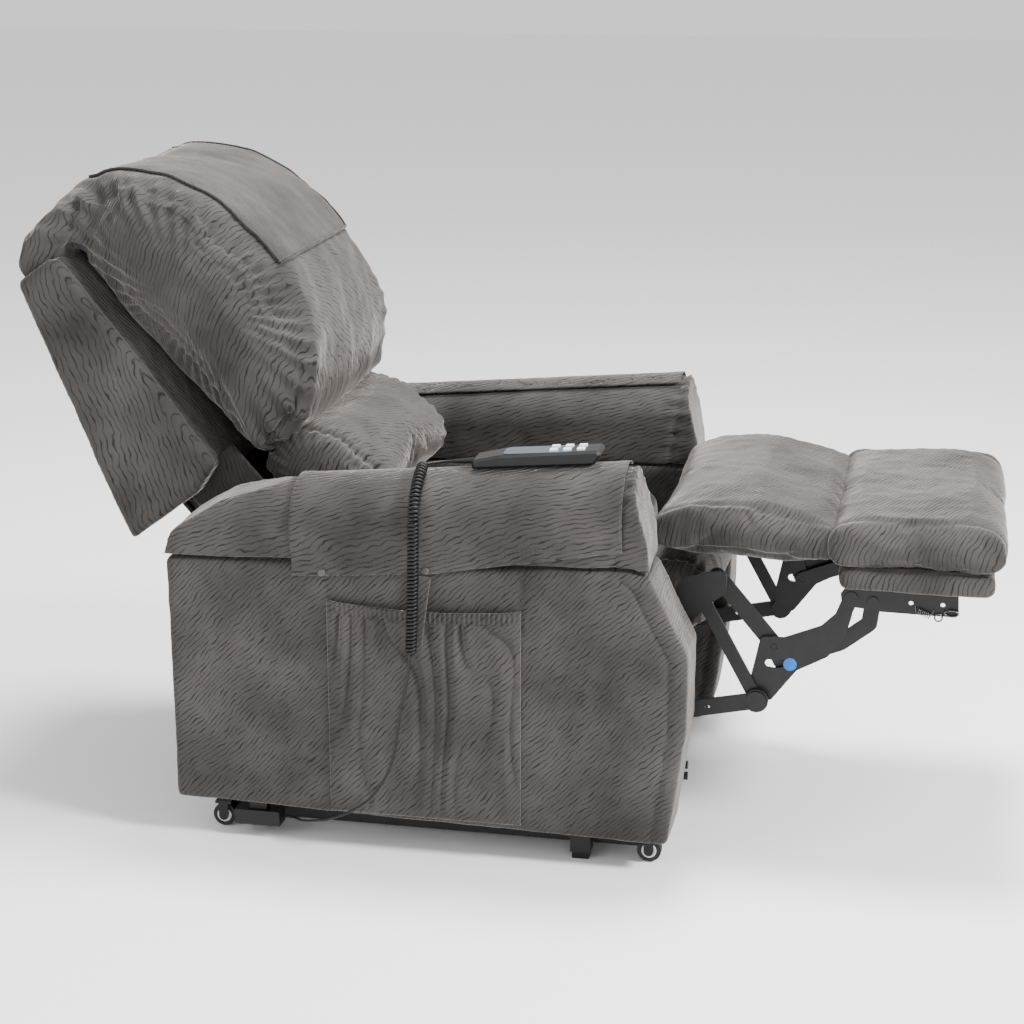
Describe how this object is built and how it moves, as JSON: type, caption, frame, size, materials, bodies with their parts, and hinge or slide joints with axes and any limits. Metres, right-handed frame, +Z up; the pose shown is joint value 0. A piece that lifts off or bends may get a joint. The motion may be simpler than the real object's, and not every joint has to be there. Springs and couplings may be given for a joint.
{
  "type": "lift recliner chair",
  "caption": "Powered lift recliner with rolled arms, bolster back and fold-out footrest on a rising base; opens flat and tips forward to stand the sitter up.",
  "frame": {"origin": "on the floor, under the middle of the extended chair", "axes": "+Z up; the sitter faces -Y; +X is the sitter's left"},
  "size_m": [0.8482, 1.6109, 1.1033],
  "materials": {
    "velvet": "crinkle velvet, taupe",
    "dark_velvet": "crinkle velvet in shade",
    "black_steel": "black powder coat",
    "bright_steel": "ground rod",
    "black_plastic": "moulded",
    "button_plastic": "moulded, pale",
    "cord_rubber": "satin",
    "tyre_rubber": "moulded"
  },
  "bodies": {
    "base": {"base_frame": "black_steel", "power_supply": "black_plastic"},
    "lift_front": {"lift_front_frame": "black_steel"},
    "lift_rear": {"lift_rear_frame": "black_steel"},
    "lift_motor": {"lift_motor": "black_plastic"},
    "lift_rod": {"lift_rod": "bright_steel"},
    "chassis": {"chassis_subframe": "black_steel", "chassis_side_right": "black_steel", "chassis_side_left": "black_steel", "seat_frame": "black_steel", "seat_box": "dark_velvet", "seat_cushion": "velvet", "seat_front_roll": "velvet", "side_panel_right": "velvet", "side_panel_left": "velvet", "arm_roll_right": "velvet", "arm_roll_left": "velvet", "arm_cap_right": "velvet", "arm_cap_left": "velvet", "side_pocket": "velvet", "footrest_motor": "black_plastic", "control_box": "black_plastic", "handset": "black_plastic", "strain_relief": "cord_rubber", "cord_coil": "cord_rubber", "cord_tail": "cord_rubber"},
    "back": {"back_frame": "black_steel", "back_shell": "velvet", "lumbar_bolster": "velvet", "head_bolster": "velvet", "head_cover": "velvet"},
    "back_motor": {"back_motor": "black_plastic"},
    "back_rod": {"back_rod": "bright_steel"},
    "front_links": {"front_link_right": "black_steel", "front_link_left": "black_steel"},
    "long_links": {"long_link_right": "black_steel", "long_link_left": "black_steel"},
    "footboard": {"footboard": "velvet", "board_bracket_right": "black_steel", "board_bracket_left": "black_steel", "foot_pad": "velvet"},
    "rear_links": {"rear_link_right": "black_steel", "rear_link_left": "black_steel"},
    "board_links": {"board_link_right": "black_steel", "board_link_left": "black_steel"},
    "calf_pad": {"calf_pad": "velvet"},
    "footrest_shaft": {"footrest_shaft": "black_steel"},
    "drive_links": {"drive_link_right": "black_steel", "drive_link_left": "black_steel"},
    "footrest_rod": {"footrest_rod": "bright_steel"},
    "wheel_rear_right": {"wheel_rear_right": "tyre_rubber"},
    "wheel_rear_left": {"wheel_rear_left": "tyre_rubber"},
    "wheel_front_right": {"wheel_front_right": "tyre_rubber"},
    "wheel_front_left": {"wheel_front_left": "tyre_rubber"},
    "button_1_a": {"handset_button_1_a": "button_plastic"},
    "button_1_b": {"handset_button_1_b": "button_plastic"},
    "button_2_a": {"handset_button_2_a": "button_plastic"},
    "button_2_b": {"handset_button_2_b": "button_plastic"},
    "button_3_a": {"handset_button_3_a": "button_plastic"},
    "button_3_b": {"handset_button_3_b": "button_plastic"}
  },
  "joints": [
    {"name": "lift", "type": "hinge", "parent": "base", "child": "lift_front", "pos_m": [0, -0.215, 0.062], "axis": [1, 0, 0], "range_deg": [0, 60]},
    {"name": "lift_tilt", "type": "hinge", "parent": "lift_front", "child": "chassis", "pos_m": [0, -0.0218, 0.1138], "axis": [1, 0, 0], "range_deg": [-33.1, 0]},
    {"name": "lift_rear_swing", "type": "hinge", "parent": "base", "child": "lift_rear", "pos_m": [0, -0.105, 0.062], "axis": [1, 0, 0], "range_deg": [0, 48.1]},
    {"name": "lift_motor_swing", "type": "hinge", "parent": "base", "child": "lift_motor", "pos_m": [0, 0.425, 0.077], "axis": [1, 0, 0], "range_deg": [0, 4.2]},
    {"name": "lift_rod_slide", "type": "slide", "parent": "lift_motor", "child": "lift_rod", "axis": [0, -0.9889, 0.1486], "range_m": [0, 0.0986]},
    {"name": "recline", "type": "hinge", "parent": "chassis", "child": "back", "pos_m": [0, 0.375, 0.43], "axis": [1, 0, 0], "range_deg": [-14, 15]},
    {"name": "back_motor_swing", "type": "hinge", "parent": "chassis", "child": "back_motor", "pos_m": [0.1, 0.035, 0.216], "axis": [1, 0, 0], "range_deg": [-1, 1]},
    {"name": "back_rod_slide", "type": "slide", "parent": "back_motor", "child": "back_rod", "axis": [0, 0.9533, 0.3019], "range_m": [-0.0247, 0.0265]},
    {"name": "footrest", "type": "hinge", "parent": "chassis", "child": "front_links", "pos_m": [0, -0.3625, 0.4654], "axis": [1, 0, 0], "range_deg": [0, 94.36], "deforming": ["calf_pad"]},
    {"name": "long_link_pivot", "type": "hinge", "parent": "front_links", "child": "long_links", "pos_m": [0, -0.4593, 0.3529], "axis": [1, 0, 0], "range_deg": [-36.95, 0]},
    {"name": "board_pivot", "type": "hinge", "parent": "long_links", "child": "footboard", "pos_m": [0, -0.58, 0.445], "axis": [1, 0, 0], "range_deg": [0, 32.6]},
    {"name": "rear_link_pivot", "type": "hinge", "parent": "chassis", "child": "rear_links", "pos_m": [0, -0.335, 0.44], "axis": [1, 0, 0], "range_deg": [0, 92.65]},
    {"name": "board_link_pivot", "type": "hinge", "parent": "front_links", "child": "board_links", "pos_m": [0, -0.4717, 0.3253], "axis": [1, 0, 0], "range_deg": [-30.65, 0]},
    {"name": "calf_pad_turn", "type": "hinge", "parent": "chassis", "child": "calf_pad", "pos_m": [0, -0.33, 0.45], "axis": [1, 0, 0], "range_deg": [0, 90.1]},
    {"name": "shaft_turn", "type": "hinge", "parent": "chassis", "child": "footrest_shaft", "pos_m": [0, -0.067, 0.33], "axis": [1, 0, 0], "range_deg": [0, 102.6]},
    {"name": "drive_link_pivot", "type": "hinge", "parent": "footrest_shaft", "child": "drive_links", "pos_m": [0, -0.189, 0.21], "axis": [1, 0, 0], "range_deg": [-118.8, 0]},
    {"name": "footrest_rod_slide", "type": "slide", "parent": "chassis", "child": "footrest_rod", "axis": [0, -0.9903, 0.1389], "range_m": [-0.1086, 0]},
    {"name": "wheel_rear_right_spin", "type": "hinge", "parent": "base", "child": "wheel_rear_right", "pos_m": [-0.333, 0.456, 0.0215], "axis": [1, 0, 0], "continuous": true},
    {"name": "wheel_rear_left_spin", "type": "hinge", "parent": "base", "child": "wheel_rear_left", "pos_m": [0.333, 0.456, 0.0215], "axis": [1, 0, 0], "continuous": true},
    {"name": "wheel_front_right_spin", "type": "hinge", "parent": "base", "child": "wheel_front_right", "pos_m": [-0.333, -0.274, 0.0215], "axis": [1, 0, 0], "continuous": true},
    {"name": "wheel_front_left_spin", "type": "hinge", "parent": "base", "child": "wheel_front_left", "pos_m": [0.333, -0.274, 0.0215], "axis": [1, 0, 0], "continuous": true},
    {"name": "button_1_a_press", "type": "slide", "parent": "chassis", "child": "button_1_a", "axis": [0, -0.0857, -0.9963], "range_m": [0, 0.0015], "stiffness_N_per_m": 900},
    {"name": "button_1_b_press", "type": "slide", "parent": "chassis", "child": "button_1_b", "axis": [0, -0.0857, -0.9963], "range_m": [0, 0.0015], "stiffness_N_per_m": 900},
    {"name": "button_2_a_press", "type": "slide", "parent": "chassis", "child": "button_2_a", "axis": [0, -0.0857, -0.9963], "range_m": [0, 0.0015], "stiffness_N_per_m": 900},
    {"name": "button_2_b_press", "type": "slide", "parent": "chassis", "child": "button_2_b", "axis": [0, -0.0857, -0.9963], "range_m": [0, 0.0015], "stiffness_N_per_m": 900},
    {"name": "button_3_a_press", "type": "slide", "parent": "chassis", "child": "button_3_a", "axis": [0, -0.0857, -0.9963], "range_m": [0, 0.0015], "stiffness_N_per_m": 900},
    {"name": "button_3_b_press", "type": "slide", "parent": "chassis", "child": "button_3_b", "axis": [0, -0.0857, -0.9963], "range_m": [0, 0.0015], "stiffness_N_per_m": 900}
  ],
  "couplings": [
    {"joint": "lift_tilt", "follows": "lift", "ratio": -0.55},
    {"joint": "lift_rear_swing", "follows": "lift", "ratio": 0.8},
    {"joint": "lift_motor_swing", "follows": "lift", "ratio": 0.069233},
    {"joint": "lift_rod_slide", "follows": "lift", "m_per_rad": 0.094014},
    {"joint": "back_motor_swing", "follows": "recline", "ratio": -0.029},
    {"joint": "back_rod_slide", "follows": "recline", "m_per_rad": 0.10017},
    {"joint": "long_link_pivot", "follows": "footrest", "ratio": -0.39095},
    {"joint": "board_pivot", "follows": "footrest", "ratio": 0.34474},
    {"joint": "rear_link_pivot", "follows": "footrest", "ratio": 0.98124},
    {"joint": "board_link_pivot", "follows": "footrest", "ratio": -0.32408},
    {"joint": "calf_pad_turn", "follows": "footrest", "ratio": 0.95379},
    {"joint": "shaft_turn", "follows": "footrest", "ratio": 1.0863},
    {"joint": "drive_link_pivot", "follows": "footrest", "ratio": -1.2585},
    {"joint": "footrest_rod_slide", "follows": "footrest", "m_per_rad": -0.065888}
  ]
}
